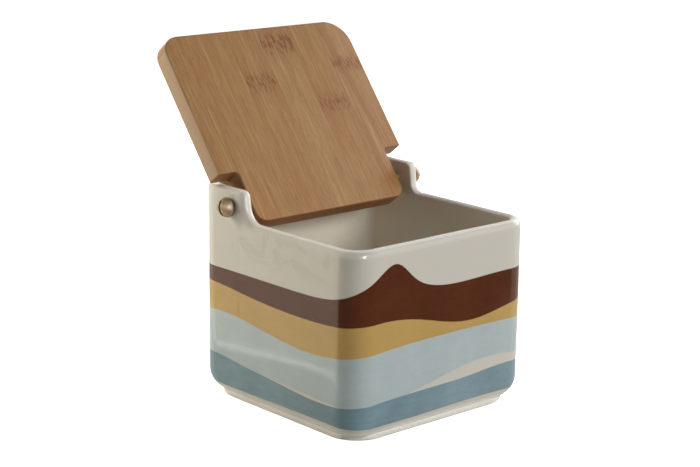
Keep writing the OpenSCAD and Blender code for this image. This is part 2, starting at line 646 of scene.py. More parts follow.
@dataclass(frozen=True)
class OiledBamboo:
    """Caramel bamboo strips glued side by side and rubbed with oil."""

    tan: Colour = (0.475, 0.275, 0.112)
    red: Colour = (0.40, 0.187, 0.063)
    straw: Colour = (0.53, 0.33, 0.152)
    mark: Colour = (0.235, 0.078, 0.025)
    # Lighter side faces of the board: side grain, and painted light on them.
    lit_side_grain: Colour = (0.56, 0.395, 0.25)
    end: Colour = (0.234, 0.083, 0.021)
    strip_width: float = 18.933
    half_width: float = 56.8
    marks: tuple[NodeMark, ...] = (
        NodeMark(3, 84.0, 9.0, 0.4),
        NodeMark(3, 78.0, 5.0, 1.0),
        NodeMark(2, 58.8, 5.2, 0.95),
        NodeMark(5, 63.4, 3.8, 0.85),
        NodeMark(4, 42.3, 5.0, 0.95),
    )

    def stain(self, grain: Grain) -> Value:
        """How dark the cane's rings have stained the point."""
        ragged = grain.fibres(0.95, 4.2, 2.0, 0.65).ramp(0.42, 0.6)
        lift = (grain.fibres(2.6, 4.0, 1.0, 0.5) - 0.5) * 0.006
        spots = []
        for mark in self.marks:
            here = abs(grain.strip - float(mark.strip)).ramp(0.5, 0.4)
            away = grain.along - mark.along * MM + lift
            body = (away * away * (-1.0 / (mark.depth * MM) ** 2)).exp()
            spots.append(here * (body * (0.16 + 0.84 * ragged) * mark.dark).clamp())
        return sum(spots[1:], spots[0]).clamp()

    def material(self) -> bpy.types.Material:
        """Cut and oil the strips.

        Returns:
            The material.
        """
        recipe = Recipe("oiled_bamboo", self.tan, ior=1.45)
        grain = Grain(recipe, self.half_width * MM, self.strip_width * MM)
        broad = grain.fibres(7.5, 95.0, 1.0, 0.5)
        streak = grain.fibres(2.1, 46.0, 2.0, 0.55)
        fine = grain.fibres(0.55, 15.0, 2.0, 0.6)
        hair = grain.fibres(0.30, 5.0, 1.0, 0.6)
        line = grain.fibres(0.9, 60.0, 2.0, 0.5).ramp(0.56, 0.7) * broad.ramp(0.35, 0.6)
        dash = grain.fibres(0.42, 3.6, 0.0, 0.5).ramp(0.70, 0.80)
        tone = 0.5 + (fine - 0.5) * 0.75 + (hair - 0.5) * 0.35
        stain = self.stain(grain)
        colour = recipe.mix((broad * 1.5 - 0.25 + grain.sheer * 0.45).clamp(), self.tan, self.red)
        half = self.half_width * MM
        pores = recipe.clouds(recipe.place(), 0.0006, 1.0, 0.5)
        for share, over in (
            (streak.ramp(0.50, 0.74) * 0.75, self.red),
            (streak.ramp(0.48, 0.26) * 0.65, self.straw),
            (tone.ramp(0.62, 0.36) * 0.45, toned(self.red, 0.62)),
            (tone.ramp(0.52, 0.80) * 0.2, self.straw),
            (line * 0.45, toned(self.red, 0.8)),
            (dash * 0.4, self.mark),
            (stain, self.mark),
            (grain.joint * 0.35, toned(self.red, 0.5)),
            # Painted light on the board's two side faces, over their lighter side grain.
            (abs(grain.across).ramp(half - 0.0004, half - 0.0001) * 0.6, self.lit_side_grain),
            ((recipe.measure("end_grain") * (0.75 + (pores - 0.5) * 0.9)).clamp(), self.end),
            (recipe.measure("eased") * 0.3, toned(self.red, 0.5)),
        ):
            colour = recipe.mix(share, colour, over)
        recipe.feed("Base Color", colour)
        recipe.feed("Roughness", 0.43 + (fine - 0.5) * 0.22 + stain * 0.08)
        recipe.relief(fine * 0.5 + hair * 0.5 - dash * 0.4 - grain.joint * 0.5, 0.06, 0.7)
        return recipe.material


@dataclass(frozen=True)
class AgedBrass:
    """Dull brass with brown patina in its hollows, and the same dark colour as painted shade on the screw
    head's edge and on the shank under it.
    """

    bright: Colour = (0.50, 0.375, 0.22)
    dull: Colour = (0.33, 0.24, 0.14)
    # Also the colour of the painted shade on the head's edge and the shank.
    patina: Colour = (0.035, 0.02, 0.01)

    def material(self) -> bpy.types.Material:
        """Cast and age the brass.

        Returns:
            The material.
        """
        recipe = Recipe("aged_brass", self.bright, ior=1.5, coat_weight=0.35, coat_roughness=0.14)
        place = recipe.place()
        blotch = recipe.clouds(place, 0.0024, 3.0, 0.6)
        grit = recipe.clouds(place, 0.0004, 2.0, 0.6)
        # This mark is real patina in the slot and painted shade on the head's edge and the shank under it.
        patina_and_painted_shade = recipe.measure("patina_and_painted_shade")
        colour = recipe.mix(blotch.ramp(0.38, 0.68), self.bright, self.dull)
        patina_grit_and_shade = (patina_and_painted_shade + (grit - 0.62).clamp() * 1.4).clamp()
        colour = recipe.mix(patina_grit_and_shade * 0.85, colour, self.patina)
        recipe.feed("Base Color", colour)
        recipe.feed("Metallic", 0.8 - patina_grit_and_shade * 0.55)
        recipe.feed("Roughness", 0.44 + blotch * 0.14 + patina_grit_and_shade * 0.2)
        recipe.relief(blotch * 0.5 + grit * 0.5, 0.03, 0.6)
        return recipe.material


@dataclass(frozen=True)
class PaleFloor:
    """Plain pale paper to look at, and two cards in the same place that light the bowl.

    Args:
        paper: The colour of the paper.
        side: Its width, in metres.
        glow: How bright the paper's own light is close to the bowl and far from it.
        card: The colour of the card for matt light.
        card_glow: How bright that card's own light is at the left and behind.
        shine: How bright the card for gloss is at the left and behind, and elsewhere.
        line_shine: How much brighter the thin line on that card is.
        depths: How far the paper and the two cards lie under the foot, in millimetres.
    """

    paper: Colour = (0.86, 0.86, 0.86)
    side: float = 9.0
    glow: tuple[float, float] = (0.2, 1.05)
    card: Colour = (0.8, 0.79, 0.77)
    card_glow: float = 0.06
    shine: tuple[float, float] = (1.25, 0.15)
    line_shine: Colour = (2.2, 2.2, 2.1)
    depths: tuple[float, float, float] = (0.05, 0.5, 0.2)

    def sheet(self, name: str, depth: float, recipe: Recipe) -> bpy.types.Object:
        """A flat sheet.

        Args:
            name: Its name.
            depth: How far it lies under the bowl, in millimetres.
            recipe: Its material.

        Returns:
            The sheet.
        """
        clay = Clay()
        steps = 24
        places = [self.side / MM * (i / steps - 0.5) for i in range(steps + 1)]
        rows = [clay.ring(Vector((x, y, -depth)) for x in places) for y in places]
        for low, high in zip(rows, rows[1:]):
            clay.faces += [(low[i], low[i + 1], high[i + 1], high[i]) for i in range(steps)]
        piece = clay.fire(name)
        piece.data.materials.append(recipe.material)
        return piece

    def lay(self) -> None:
        """Lay the paper and the two cards."""
        floor = self.sheet("floor", self.depths[0], self.seen_paper())
        floor.visible_diffuse = floor.visible_glossy = floor.visible_shadow = False
        card = self.sheet("bounce_card", self.depths[1], self.bounce())
        card.visible_camera = card.visible_glossy = False
        card = self.sheet("gloss_card", self.depths[2], self.mirrored())
        card.visible_camera = card.visible_diffuse = card.visible_shadow = False

    def seen_paper(self) -> Recipe:
        """The paper, which glows more the farther it is from the bowl."""
        recipe = Recipe("floor_paper", self.paper, emission_strength=1.2)
        place = recipe.place()
        fibre = recipe.clouds(place, 0.002, 3.0, 0.6)
        x, y, _ = recipe.axes(place)
        near, far = self.glow
        glow = (x * x + y * y).math("SQRT").ramp(0.05, 1.1) * (far - near) + near
        recipe.feed("Emission Color", recipe.mix(glow, BLACK, WHITE))
        recipe.feed("Base Color", recipe.mix(fibre, toned(self.paper, 0.985), self.paper))
        recipe.feed("Roughness", 0.8 + fibre * 0.1)
        recipe.relief(fibre, 0.02, 0.3)
        return recipe

    def bounce(self) -> Recipe:
        """The card that throws matt light up at the bowl, most of it at the left and behind."""
        recipe = Recipe("bounce_card", self.card, emission_strength=self.card_glow)
        x, y, _ = recipe.axes(recipe.place())
        side = (y * 0.74 - x * 0.67).ramp(0.0, 0.2)
        recipe.feed("Emission Color", recipe.mix(side, BLACK, (1.0, 0.95, 0.85)))
        recipe.feed("Base Color", recipe.mix(side, toned(self.card, 0.7), self.card))
        recipe.feed("Roughness", 0.85 + side * 0.05)
        return recipe

    def mirrored(self) -> Recipe:
        """The card that the gloss mirrors: bright at the left and behind, with a brighter thin line."""
        bright, dim = self.shine
        recipe = Recipe("gloss_card", self.card, emission_strength=bright, specular_ior_level=0.0)
        x, y, _ = recipe.axes(recipe.place())
        beyond = x - y * 0.12 + 0.12
        side = (x * 0.5 + y * 0.866).ramp(-0.075, -0.045) * (0.5 + 0.5 * beyond.ramp(0.003, -0.003))
        line = abs(beyond).ramp(0.005, 0.002) * y.ramp(-0.02, 0.02) * y.ramp(0.2, 0.16)
        colour = recipe.mix(side, toned(WHITE, dim / bright), (1.0, 0.97, 0.85))
        recipe.feed("Emission Color", recipe.mix(line, colour, self.line_shine))
        recipe.feed("Base Color", recipe.mix(side, BLACK, toned(WHITE, 0.01)))
        return recipe


# ---------------------------------------------------------------- the bowl


@dataclass(frozen=True)
class EarFront:
    """The front edge of an ear, from its top down to the rim.

    Args:
        toe: Distance of the foot of the curve in front of the middle, towards the back.
        lean: How far the edge leans from upright, in degrees.
        crown: Radius of the upper corner.
        sweep: Radius of the curve down to the rim.
    """

    toe: float
    lean: float
    crown: float
    sweep: float


@dataclass
class CeramicBowl:
    """The square ceramic body with its two ears, floor and foot.

    Args:
        half: Half the outer width and depth.
        rim: Height of the rim at its crest.
        ear_top: Height of the back and the ears.
        wall: Thickness of the wall.
        corner: Outer radius of the upright corners.
        inner_corner: Inner radius of those corners below the lip.
        lip_out: How far the lip's rounding reaches outwards from the crest, and how far down.
        lip_in: The same inwards.
        lip_square: Power of the lip's curve; 2 is an ellipse.
        lip_fade: How deep the thin glaze reaches on the lip, outside and inside; its paler colour also paints
            light on the lip's rounding.
        lip_gap: Distance from the lip's rounding to the first row of the plain wall.
        ear_lip: Share of the lip's depth on top of the ears and down their fronts.
        floor: Height of the inner floor.
        heel: Radius of the curve from the wall to the foot.
        heel_in: How far that curve reaches in.
        foot: Height of the foot.
        foot_corner: Corner radius of the foot at the front left.
        soft_foot: Its radius at the other corners.
        soft_heel: Radius of the other corners where the heel ends.
        bore_radius: Radius of the bores for the screws.
        hinge: How far behind the middle and how high the hinge axis is.
        knee: Height where the wall's rows have become level.
        spacing: Distance between points round the bowl.
        swell: Depth and breadth of the slow unevenness of the glaze.
        ripple: Depth and breadth of the quick one.
        left_ear: Front of the left ear.
        right_ear: Front of the right ear.
        lines: Lower edges of the painted bands, from the foot up.
    """

    half: float = 55.0
    rim: float = 87.5
    ear_top: float = 101.45
    wall: float = 5.0
    corner: float = 12.5
    inner_corner: float = 4.0
    lip_out: tuple[float, float] = (2.7, 4.0)
    lip_in: tuple[float, float] = (2.3, 1.5)
    lip_square: float = 2.05
    lip_fade: tuple[float, float] = (0.5, 0.9)
    lip_gap: float = 0.3
    ear_lip: tuple[float, float] = (0.5, 0.85)
    floor: float = 8.4
    heel: float = 14.0
    heel_in: float = 4.0
    foot: float = 2.4
    foot_corner: float = 15.0
    soft_foot: float = 18.5
    soft_heel: float = 12.0
    bore_radius: float = 2.13
    hinge: tuple[float, float] = (31.0, 93.0)
    knee: float = 80.0
    spacing: float = 2.0
    swell: tuple[float, float] = (0.15, 24.0)
    ripple: tuple[float, float] = (0.05, 10.0)
    left_ear: EarFront = EarFront(12.8, 11.0, 4.0, 7.8)
    right_ear: EarFront = EarFront(16.1, 6.0, 4.0, 4.6)
    lines: Mapping[str, Wave] = field(
        default_factory=lambda: {
            "teal_foot": Wave(5.5, (Hill(145, 1, 40), Hill(235, 1.5, 25))),
            "teal_top": Wave(
                18.5, (Hill(60, 2.5, 15), Hill(135, -3, 20), Hill(250, 2, 15), Hill(345, -1.5, 20))
            ),
            "blue_foot": Wave(19, (Hill(235, 7.5, 30), Hill(165, -3, 40), Hill(340, -3.5, 20))),
            "blue_top": Wave(
                39.5, (Hill(70, 2.5, 15), Hill(130, -3.5, 20), Hill(215, 2.5, 55), Hill(330, -2.5, 20))
            ),
            "ochre_top": Wave(
                51.5,
                (
                    Hill(55, 4, 25),
                    Hill(175, 3, 20),
                    Hill(225, -6, 20),
                    Hill(320, 3.5, 15),
                    Hill(385, -2.5, 20),
                ),
            ),
            "brown_top": Wave(
                63, (Hill(175, 9, 16), Hill(175, 4, 9), Hill(180, 4, 6), Hill(255, 2.5, 35), Hill(325, 8, 13))
            ),
        }
    )

    @property
    def side(self) -> float:
        """Length of a wall between two upright corners."""
        return 2 * (self.half - self.corner)

    @property
    def girth(self) -> float:
        """Distance round the outside of the walls."""
        return 4 * self.side + TURN * self.corner

    def spot(self, along: float, inset: float, up: float, corner: Corners = None) -> Vector:
        """Point on a rounded square inside the outline.

        Args:
            along: Distance round the outside from the middle of the back, towards the left wall.
            inset: Distance in from the outside.
            up: Height.
            corner: Radius of the square's corners, one for each corner from the back left one
                round by the front, or None for corners that stay concentric.

        Returns:
            The point.
        """
        half = self.half - inset
        radii = self.corner - inset if corner is None else corner
        if not isinstance(radii, tuple):
            radii = (radii,) * 4
        quarter = self.side + self.corner * TURN / 4
        rest = (along + self.side / 2) % self.girth
        wall = int(rest // quarter)
        rest -= wall * quarter
        facing = TURN / 4 * (wall + 1)
        out = Vector((math.cos(facing), math.sin(facing), 0.0))
        onward = Vector((-out.y, out.x, 0.0))
        start, end = half - radii[wall - 1], half - radii[wall]
        if rest <= self.side:
            point = out * half + onward * ((start + end) * rest / self.side - start)
        else:
            turn = facing + (rest - self.side) / self.corner
            point = (out + onward) * end + Vector((math.cos(turn), math.sin(turn), 0.0)) * radii[wall]
        return Vector((point.x, point.y, up))

    def left_at(self, y: float) -> float:
        """Distance round the outside of a point of the left wall."""
        return self.girth / 4 - y

    def right_at(self, y: float) -> float:
        """Distance round the outside of a point of the right wall."""
        return self.girth * 3 / 4 + y

    def ear_edge(self, ear: EarFront) -> list[Step]:
        """Front edge of an ear on its own.

        Args:
            ear: Its sizes.

        Returns:
            Steps from the top to the rim, with the distance behind the toe.
        """
        turn = math.radians(90.0 - ear.lean)
        drop = (ear.crown + ear.sweep) * (1 - math.cos(turn))
        run = (self.ear_top - self.rim - drop) / math.sin(turn)
        back = (ear.crown + ear.sweep) * math.sin(turn) + run * math.cos(turn)
        steps = []
        bends, pieces = 9, 5
        above, lip = self.ear_lip
        for i in range(bends + 1):
            t = turn * i / bends
            part = above + (lip - above) * i / bends
            height = self.ear_top - ear.crown * (1 - math.cos(t))
            steps.append((back - ear.crown * math.sin(t), height, t, part))
        x0, z0 = steps[-1][:2]
        for i in range(1, pieces):
            down = run * i / pieces
            steps.append((x0 - down * math.cos(turn), z0 - down * math.sin(turn), turn, lip))
        for i in range(bends, -1, -1):
            t = turn * i / bends
            full = lip + (1 - lip) * (1 - i / bends)
            steps.append((ear.sweep * math.sin(t), self.rim + ear.sweep * (1 - math.cos(t)), t, full))
        return steps

    def edge(self) -> list[Step]:
        """The top edge all the way round.

        Returns:
            Steps round the bowl.
        """
        path: list[Step] = []

        def level(start: float, end: float, height: float, lip: float) -> None:
            """Fill a level stretch with evenly spaced steps, ends left out."""
            count = max(1, round((end - start) / self.spacing))
            path.extend((start + (end - start) * i / count, height, 0.0, lip) for i in range(1, count))

        toe = self.left_at(self.left_ear.toe)
        left = [(toe - b, z, -t, lip) for b, z, t, lip in self.ear_edge(self.left_ear)]
        toe = self.right_at(self.right_ear.toe)
        right = [(toe + b, z, t, lip) for b, z, t, lip in reversed(self.ear_edge(self.right_ear))]
        path.append((0.0, self.ear_top, 0.0, self.ear_lip[0]))
        level(0.0, left[0][0], self.ear_top, self.ear_lip[0])
        path.extend(left)
        level(left[-1][0], right[0][0], self.rim, 1.0)
        path.extend(right)
        level(right[-1][0], self.girth, self.ear_top, self.ear_lip[0])
        return path

    def unevenness(self, point: Vector, skin: Skin) -> float:
        """How far the glaze lies out or in at a point, from hand dipping."""
        seed = Vector((3.7, 1.3, 9.1)) * (1.0 if skin is Skin.OUTSIDE else -1.0)
        slow = self.swell[0] * noise.noise(point / self.swell[1] + seed)
        quick = self.ripple[0] * noise.noise(point / self.ripple[1] + seed * 2)
        return min(1.0, max(0.0, (point.z - 4.0) / 10.0)) * (slow + quick)

    def skin_row(
        self,
        clay: Clay,
        columns: Sequence[tuple[float, float]],
        inset: float,
        skin: Skin,
        corner: Corners = None,
        thin: float = 0.0,
        bare: float = 0.0,
    ) -> Ring:
        """Lay one row of points round the bowl with what the glaze needs to know there.

        Args:
            clay: The mesh.
            columns: Distance along and height of every point.
            inset: Distance in from the outside.
            skin: Which side of the wall it is on.
            corner: Corner radii of the row, or None for concentric corners.
            thin: How thin the glaze is, from 0 to 1; its paler colour is partly painted light on the lip and
                low on the heel.
            bare: How bare the clay is, from 0 to 1.

        Returns:
            The row's numbers.
        """
        points = []
        inside = float(skin is Skin.INSIDE) * (1.0 - thin)
        for along, up in columns:
            point = self.spot(along, inset, up, corner)
            way = self.spot(along, -10.0, up) - self.spot(along, 0.0, up)
            points.append(point + way.normalized() * self.unevenness(point, skin))
            marks = {"thin_glaze_and_painted_light": thin, "bare": bare, "inside": inside}
            for name, wave in self.lines.items():
                marks[name] = up - wave.height(along, self.girth) if skin is Skin.OUTSIDE else ABOVE_ALL
            marks["blue_foot"] = min(marks["blue_foot"], marks["teal_top"])
            for name, number in marks.items():
                clay.marks.setdefault(name, []).append(number)
        return clay.ring(points)

    def level_row(
        self,
        clay: Clay,
        top: Sequence[tuple[float, float]],
        height: float,
        inset: float,
        skin: Skin,
        corner: Corners = None,
        thin: float = 0.0,
        bare: float = 0.0,
    ) -> Ring:
        """Lay a row as skin_row does, with all its points at one height."""
        return self.skin_row(clay, [(s, height) for s, _ in top], inset, skin, corner, thin, bare)

    def under(self, depth: float) -> list[tuple[float, float]]:
        """Columns moved in from the top edge, square to it."""
        edge = self.edge()
        return [(s + depth * lip * math.sin(t), z - depth * lip * math.cos(t)) for s, z, t, lip in edge]

    def lip_rows(self, clay: Clay, skin: Skin) -> list[Ring]:
        """Round the lip over to one side of the wall.

        Args:
            clay: The mesh.
            skin: The side.

        Returns:
            The rows after the crest.
        """
        outside = skin is Skin.OUTSIDE
        wide, deep = self.lip_out if outside else self.lip_in
        fade = self.lip_fade[0 if outside else 1]
        rows = []
        bends = 10
        for i in range(1, bends + 1):
            turn = TURN / 4 * i / bends
            across = wide * math.sin(turn) ** (2 / self.lip_square)
            depth = deep * (1 - math.cos(turn) ** (2 / self.lip_square))
            # The paler band over the crest is partly real thin glaze and partly painted light on the lip's
            # rounding.
            thin = min(1.0, max(0.0, 1.6 - depth / fade))
            inset = self.lip_out[0] + skin.value * across
            rows.append(self.skin_row(clay, self.under(depth), inset, skin, thin=thin))
        return rows

    def wall_rows(self, clay: Clay, top: Sequence[tuple[float, float]], skin: Skin) -> list[Ring]:
        """Run one side of the wall down from the lip to where it curves in.

        Args:
            clay: The mesh.
            top: The columns.
            skin: The side.

        Returns:
            The rows.
        """
        outside = skin is Skin.OUTSIDE
        face = 0.0 if outside else self.wall
        foot = self.heel_top if outside else self.floor + self.corner - self.wall
        rows = [self.skin_row(clay, top, face, skin)]
        settle = 8
        for i in range(1, settle + 1):
            level = [(s, z + (self.knee - z) * i / settle) for s, z in top]
            rows.append(self.skin_row(clay, level, face, skin, self.fold(skin, i / settle)))
        steps = round((self.knee - foot) / self.spacing / 1.2)
        for i in range(1, steps + 1):
            height = self.knee + (foot - self.knee) * i / steps
            rows.append(self.level_row(clay, top, height, face, skin, self.fold(skin, 1.0)))
        return rows

    def shape(self) -> bpy.types.Object:
        """Throw the bowl.

        Returns:
            The piece, with its two bores.
        """
        clay = Clay()
        crown = self.skin_row(clay, self.under(0.0), self.lip_out[0], Skin.OUTSIDE, thin=1.0)
        top = self.under(self.lip_out[1] + self.lip_gap)
        for skin in Skin:
            rows = [crown, *self.lip_rows(clay, skin), *self.wall_rows(clay, top, skin)]
            rows += self.heel_rows(clay, top) if skin is Skin.OUTSIDE else self.floor_rows(clay, top)
            clay.sheet(rows)
            clay.lid(rows[-1])
        piece = clay.fire("ceramic_bowl")
        y, z = self.hinge
        drill(piece, Vector((0.0, y, z)), self.bore_radius, 2 * self.half + 4)
        return piece

    def fold(self, skin: Skin, share: float) -> float | None:
        """Corner radius of a row of the wall.

        Args:
            skin: Which side of the wall it is on.
            share: How far down from the lip it is, from 0 to 1 where the corners are tight.

        Returns:
            The radius, or None for concentric corners.
        """
        if skin is Skin.OUTSIDE:
            return None
        return self.corner - self.wall + (self.inner_corner - self.corner + self.wall) * share

    @property
    def heel_top(self) -> float:
        """Height where the wall starts to curve in."""
        return self.foot + math.sqrt(self.heel**2 - (self.heel - self.heel_in) ** 2)

    def heel_rows(self, clay: Clay, top: Sequence[tuple[float, float]]) -> list[Ring]:
        """Curve in to the foot and close the underside.

        Args:
            clay: The mesh.
            top: The columns.

        Returns:
            The rows from the wall to the middle of the underside.
        """
        rows = []
        end = math.asin((self.heel_top - self.foot) / self.heel)
        bends = 9
        for i in range(1, bends + 1):
            turn = end * i / bends
            inset = self.heel * (1 - math.cos(turn))
            height = self.heel_top - self.heel * math.sin(turn)
            # Paler glaze low on the heel is partly real thin glaze and partly a painted light line above the
            # foot.
            thin = min(0.8, max(0.0, (5.4 - height) / 1.8))
            tight = self.corner - inset
            soft = tight + (self.soft_heel - tight) * (i / bends) ** 1.5
            corner = (soft, tight, soft, soft)
            rows.append(self.level_row(clay, top, height, inset, Skin.OUTSIDE, corner, thin))
        for more, height, less, share, bare in (
            (-0.1, 2.2, 4.5, 1.0, 0.0),
            (-0.6, 1.95, 1.2, 1.0, 0.0),
            (-0.95, 1.6, 0.0, 1.0, 0.0),
            (-1.0, 0.75, 0.0, 1.0, 0.0),
            (-0.9, 0.32, 0.0, 1.0, 0.2),
            (-0.65, 0.08, 0.0, 1.0, 0.75),
            (-0.2, 0.0, 0.0, 1.0, 1.0),
            (9.0, 0.0, 0.0, 0.8, 1.0),
            (20.0, 0.0, 0.0, 0.6, 1.0),
            (35.0, 0.0, 0.0, 0.3, 1.0),
        ):
            soft = (self.soft_foot - less * 0.6) * share
            corner = (soft, (self.foot_corner - less) * share, soft, soft)
            thin = 0.8 - 0.8 * bare
            inset = self.heel_in + more
            rows.append(self.level_row(clay, top, height, inset, Skin.OUTSIDE, corner, thin, bare))
        return rows

    def floor_rows(self, clay: Clay, top: Sequence[tuple[float, float]]) -> list[Ring]:
        """Curve in to the floor and close it.

        Args:
            clay: The mesh.
            top: The columns.

        Returns:
            The rows from the wall to the middle of the floor.
        """
        rows = []
        radius = self.corner - self.wall
        sharp, bends = 2.0, 8
        for i in range(1, bends + 1):
            turn = TURN / 4 * i / bends
            inset = self.wall + radius * (1 - math.cos(turn))
            height = self.floor + radius * (1 - math.sin(turn))
            corner = sharp + (self.inner_corner - sharp) * math.cos(turn)
            rows.append(self.level_row(clay, top, height, inset, Skin.INSIDE, corner))
        start = self.wall + radius
        for share in (0.2, 0.45, 0.7, 0.88):
            inset = start + (self.half - start) * share
            rows.append(self.level_row(clay, top, self.floor, inset, Skin.INSIDE, sharp * (1 - share)))
        return rows

    def build(self) -> bpy.types.Object:
        """Make, glaze and hand over the bowl.

        Returns:
            The piece.
        """
        piece = self.shape()
        hand_over(piece, PaintedGlaze().material(), Body.BOWL, "bowl")
        return piece


# ---------------------------------------------------------------- the lid


@dataclass
class BambooLid:
    """The lid board, glued up from six strips, leaning open on its hinge axis.

    Args:
        hinge: How far behind the middle and how high the hinge axis is.
        lean: How far the board leans back from upright, in degrees.
        half_width: Half its width.
        tab_half: Half the width of the tab between the ears.
        tab_end: Where the tab ends, from the hinge axis.
        shoulder: Where the shoulders are.
        reach: Where the far end is.
        thickness: Thickness of the board.
        round_tab: Radius of the tab's corners.
        round_shoulder: Radius of the shoulders' corners.
        round_notch: Radius in the notches.
        far_left: Radius of the left far corner.
        far_right: Radius of the right far corner.
        ease: Radius of the eased edges.
        strips: Number of strips.
        hole_radius: Radius of the holes for the screws.
        hole_end: Distance from the middle to the end of each hole.
        drilled: How many strips each hole goes into.
        drill_past: How far the drill starts outside the board.
    """

    hinge: tuple[float, float] = (31.0, 93.0)
    lean: float = 38.0
    half_width: float = 56.8
    tab_half: float = 45.9
    tab_end: float = -11.8
    shoulder: float = 14.6
    reach: float = 88.0
    thickness: float = 8.8
    round_tab: float = 6.0
    round_shoulder: float = 1.0
    round_notch: float = 1.5
    far_left: float = 9.8
    far_right: float = 13.2
    ease: float = 0.6
    strips: int = 6
    hole_radius: float = 2.1
    hole_end: float = 30.9
    drilled: int = 2
    drill_past: float = 2.0

    @property
    def pose(self) -> Matrix:
        """Place of the lid: its own X across, Y from the hinge to the far end, Z to the underside."""
        y, z = self.hinge
        lean = Matrix.Rotation(math.radians(90 - self.lean), 4, "X")
        return Matrix.Translation((0.0, y * MM, z * MM)) @ lean

    def half_outline(self, far: float, inset: float) -> list[tuple[float, float, float]]:
        """Outline of one half of the board moved in by some distance, as it is on the right.

        Args:
            far: Radius of the far corner.
            inset: The distance.

        Returns:
            Points in order from the corner of the tab, and how much end grain shows there.
        """
        tab, notch, wing = self.round_tab, self.round_notch, self.round_shoulder
        arcs = (
            (self.tab_half - tab, self.tab_end + tab, tab - inset, -90.0, 0.0, 8),
            (self.tab_half + notch, self.shoulder - notch, notch + inset, 180.0, 90.0, 6),
            (self.half_width - wing, self.shoulder + wing, wing - inset, -90.0, 0.0, 8),
            (self.half_width - far, self.reach - far, far - inset, 0.0, 90.0, 16),
        )
        points = []
        for x, y, radius, start, end, count in arcs:
            for i in range(count + 1):
                turn = math.radians(start + (end - start) * i / count)
                points.append((x + radius * math.cos(turn), y + radius * math.sin(turn), abs(math.sin(turn))))
        return points

    def outline(self, inset: float) -> list[tuple[float, float, float]]:
        """The whole outline moved in by some distance, from the right corner of the tab."""
        left = self.half_outline(self.far_left, inset)
        return self.half_outline(self.far_right, inset) + [(-x, y, end) for x, y, end in reversed(left)]

    def board(self) -> Clay:
        """The whole board with its eased edges, before it is parted into strips."""
        clay = Clay()
        rows = []
        eased: list[float] = []
        ends: list[float] = []
        half = self.thickness / 2
        bends = 5
        for side in (-1, 1):
            for i in range(bends + 1):
                turn = TURN / 4 * (i / bends if side < 0 else 1 - i / bends)
                inset = self.ease * (1 - math.sin(turn))
                height = side * (half - self.ease * (1 - math.cos(turn)))
                border = self.outline(inset)
                rows.append(clay.ring(Vector((x, y, height)) for x, y, _ in border))
                eased += [math.sin(2 * turn)] * len(border)
                ends += [end * math.sin(turn) for _, _, end in border]
        clay.marks["eased"] = eased
        clay.marks["end_grain"] = ends
        clay.sheet(rows)
        clay.lid(rows[0], flip=True)
        clay.lid(rows[-1])
        return clay

    def part(self, board: bpy.types.Object, number: int) -> bpy.types.Object:
        """Cut one strip out of the board.

        Args:
            board: The board.
            number: The strip's number from the left, from 0.

        Returns:
            The strip.
        """
        width = 2 * self.half_width / self.strips
        bm = bmesh.new()
        bm.from_mesh(board.data)
        for side, place in ((1, number + 1), (-1, number)):
            cut = (place * width - self.half_width) * MM
            if 0 < place < self.strips:
                found = bmesh.ops.bisect_plane(
                    bm,
                    geom=bm.verts[:] + bm.edges[:] + bm.faces[:],
                    plane_co=(cut, 0.0, 0.0),
                    plane_no=(side, 0.0, 0.0),
                    clear_outer=True,
                    dist=1e-7,
                )
                rims = [e for e in found["geom_cut"] if isinstance(e, bmesh.types.BMEdge)]
                bmesh.ops.edgeloop_fill(bm, edges=rims)
        name = f"lid_strip_{number + 1}"
        mesh = bpy.data.meshes.new(name)
        bm.to_mesh(mesh)
        bm.free()
        piece = bpy.data.objects.new(name, mesh)
        bpy.context.scene.collection.objects.link(piece)
        smooth(mesh, CREASE)
        return piece

    def build(self) -> list[bpy.types.Object]:
        """Make, oil and hand over the six strips.

        Returns:
            The strips from left to right.
        """
        board = self.board().fire("board")
        finish = OiledBamboo().material()
        strips = []
        for number in range(self.strips):
            piece = self.part(board, number)
            side = -1 if number < self.strips / 2 else 1
            if min(number, self.strips - 1 - number) < self.drilled:
                start = self.half_width + self.drill_past
                middle = Vector((side * (start + self.hole_end) / 2, 0.0, 0.0))
                drill(piece, middle, self.hole_radius, start - self.hole_end)
            piece.matrix_world = self.pose
            hand_over(piece, finish, Body.LID, f"lid_stave_{number + 1}")
            strips.append(piece)
        bpy.data.objects.remove(board)
        return strips


# ---------------------------------------------------------------- the screws


def round_row(clay: Clay, radii: Sequence[float], around: Sequence[float], height: float) -> Ring:
    """Lay a row round the Z axis with one radius for each angle."""
    return clay.ring(Vector((r * math.cos(a), r * math.sin(a), height)) for r, a in zip(radii, around))


